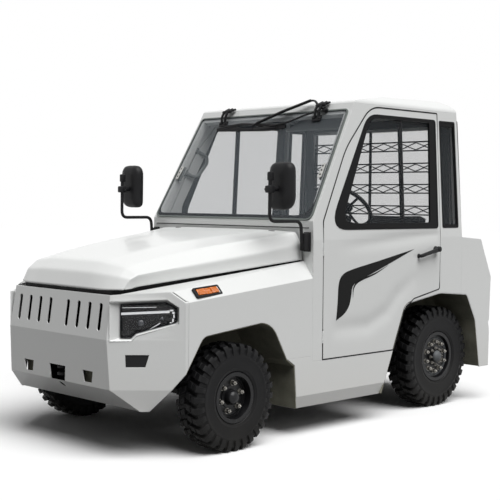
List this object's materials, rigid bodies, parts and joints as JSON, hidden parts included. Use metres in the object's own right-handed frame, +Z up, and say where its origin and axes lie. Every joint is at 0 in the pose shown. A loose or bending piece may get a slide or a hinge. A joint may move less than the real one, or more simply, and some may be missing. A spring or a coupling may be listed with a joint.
{
  "type": "airport baggage tug",
  "caption": "Four-wheeled airport baggage tug: an enclosed two-seat cab behind a tilting hood, a closed rear body, a rear drawbar hitch and a front tow bracket.",
  "frame": {"origin": "on the ground, below the middle of the whole tug", "axes": "+Z up, -Y towards the front of the tug, +X towards its left side"},
  "size_m": [1.574, 3.24, 2.0572],
  "materials": {
    "white_paint": "gloss enamel",
    "black_steel": "satin chassis paint",
    "black_rim": "satin enamel",
    "engine_iron": "painted casting",
    "zinc_steel": "zinc plated",
    "tyre_rubber": "worn rubber",
    "black_plastic": "fine grain",
    "lamp_plastic": "black housing behind a clear lens",
    "liner_plastic": "dusty, coarse grain",
    "seat_vinyl": "grained vinyl",
    "amber_lens": "polished",
    "red_lens": "polished",
    "window_glass": "tinted, polished"
  },
  "bodies": {
    "chassis": {"arch_liners": "liner_plastic", "cab_floor": "black_steel", "cab_frame": "white_paint", "cowl": "white_paint", "cross_members": "black_steel", "dashboard": "black_plastic", "engine_block": "engine_iron", "fenders": "white_paint", "frame_rails": "black_steel", "front_axle": "black_steel", "front_cover": "white_paint", "front_tow_bracket": "black_steel", "headlamps": "lamp_plastic", "hood_rim": "black_plastic", "marker_lamps": "amber_lens", "mirrors": "black_plastic", "radiator": "black_steel", "rear_axle": "black_steel", "rear_body": "white_paint", "rear_hitch": "black_steel", "roof": "white_paint", "seat_bases": "black_steel", "seat_cushions": "seat_vinyl", "side_and_rear_glass": "window_glass", "step_boxes": "white_paint", "tail_lamps": "red_lens", "tow_pin_panel": "white_paint", "window_guard": "black_steel", "windshield": "window_glass"},
    "hood": {"hood": "white_paint"},
    "door_left": {"door_left": "white_paint", "door_glass_left": "window_glass", "door_handle_left": "black_plastic"},
    "door_right": {"door_right": "white_paint", "door_glass_right": "window_glass", "door_handle_right": "black_plastic"},
    "knuckle_left": {"knuckle_left": "black_steel"},
    "knuckle_right": {"knuckle_right": "black_steel"},
    "front_wheel_left": {"front_rim_left": "black_rim", "front_tyre_left": "tyre_rubber"},
    "front_wheel_right": {"front_rim_right": "black_rim", "front_tyre_right": "tyre_rubber"},
    "rear_wheel_left": {"rear_rim_left": "black_rim", "rear_tyre_left": "tyre_rubber"},
    "rear_wheel_right": {"rear_rim_right": "black_rim", "rear_tyre_right": "tyre_rubber"},
    "steering_wheel": {"steering_wheel": "black_plastic"},
    "hitch_pin": {"hitch_pin": "zinc_steel"}
  },
  "joints": [
    {"name": "hood_hinge", "type": "hinge", "parent": "chassis", "child": "hood", "pos_m": [0, -0.36, 1.184], "axis": [-1, 0, 0], "range_deg": [0, 50]},
    {"name": "door_left_hinge", "type": "hinge", "parent": "chassis", "child": "door_left", "pos_m": [0.7385, -0.23, 0.83], "axis": [0, 0, -1], "range_deg": [0, 70]},
    {"name": "door_right_hinge", "type": "hinge", "parent": "chassis", "child": "door_right", "pos_m": [-0.7385, -0.23, 0.83], "axis": [0, 0, 1], "range_deg": [0, 70]},
    {"name": "steer_left", "type": "hinge", "parent": "chassis", "child": "knuckle_left", "pos_m": [0.545, -0.964, 0.299], "axis": [0, 0, 1], "range_deg": [-32, 32]},
    {"name": "steer_right", "type": "hinge", "parent": "chassis", "child": "knuckle_right", "pos_m": [-0.545, -0.964, 0.299], "axis": [0, 0, 1], "range_deg": [-32, 32]},
    {"name": "front_wheel_left_spin", "type": "hinge", "parent": "knuckle_left", "child": "front_wheel_left", "pos_m": [0.681, -0.964, 0.299], "axis": [1, 0, 0], "continuous": true},
    {"name": "front_wheel_right_spin", "type": "hinge", "parent": "knuckle_right", "child": "front_wheel_right", "pos_m": [-0.681, -0.964, 0.299], "axis": [1, 0, 0], "continuous": true},
    {"name": "rear_wheel_left_spin", "type": "hinge", "parent": "chassis", "child": "rear_wheel_left", "pos_m": [0.584, 1.006, 0.338], "axis": [1, 0, 0], "continuous": true},
    {"name": "rear_wheel_right_spin", "type": "hinge", "parent": "chassis", "child": "rear_wheel_right", "pos_m": [-0.584, 1.006, 0.338], "axis": [1, 0, 0], "continuous": true},
    {"name": "steering_wheel_turn", "type": "hinge", "parent": "chassis", "child": "steering_wheel", "pos_m": [0.33, 0.45, 1.345], "axis": [0, 0.7071, 0.7071], "range_deg": [-520, 520]},
    {"name": "hitch_pin_lift", "type": "slide", "parent": "chassis", "child": "hitch_pin", "axis": [0, 0, 1], "range_m": [0, 0.09]}
  ],
  "couplings": [
    {"joint": "steer_right", "follows": "steer_left", "ratio": 1},
    {"joint": "steering_wheel_turn", "follows": "steer_left", "ratio": 16}
  ]
}
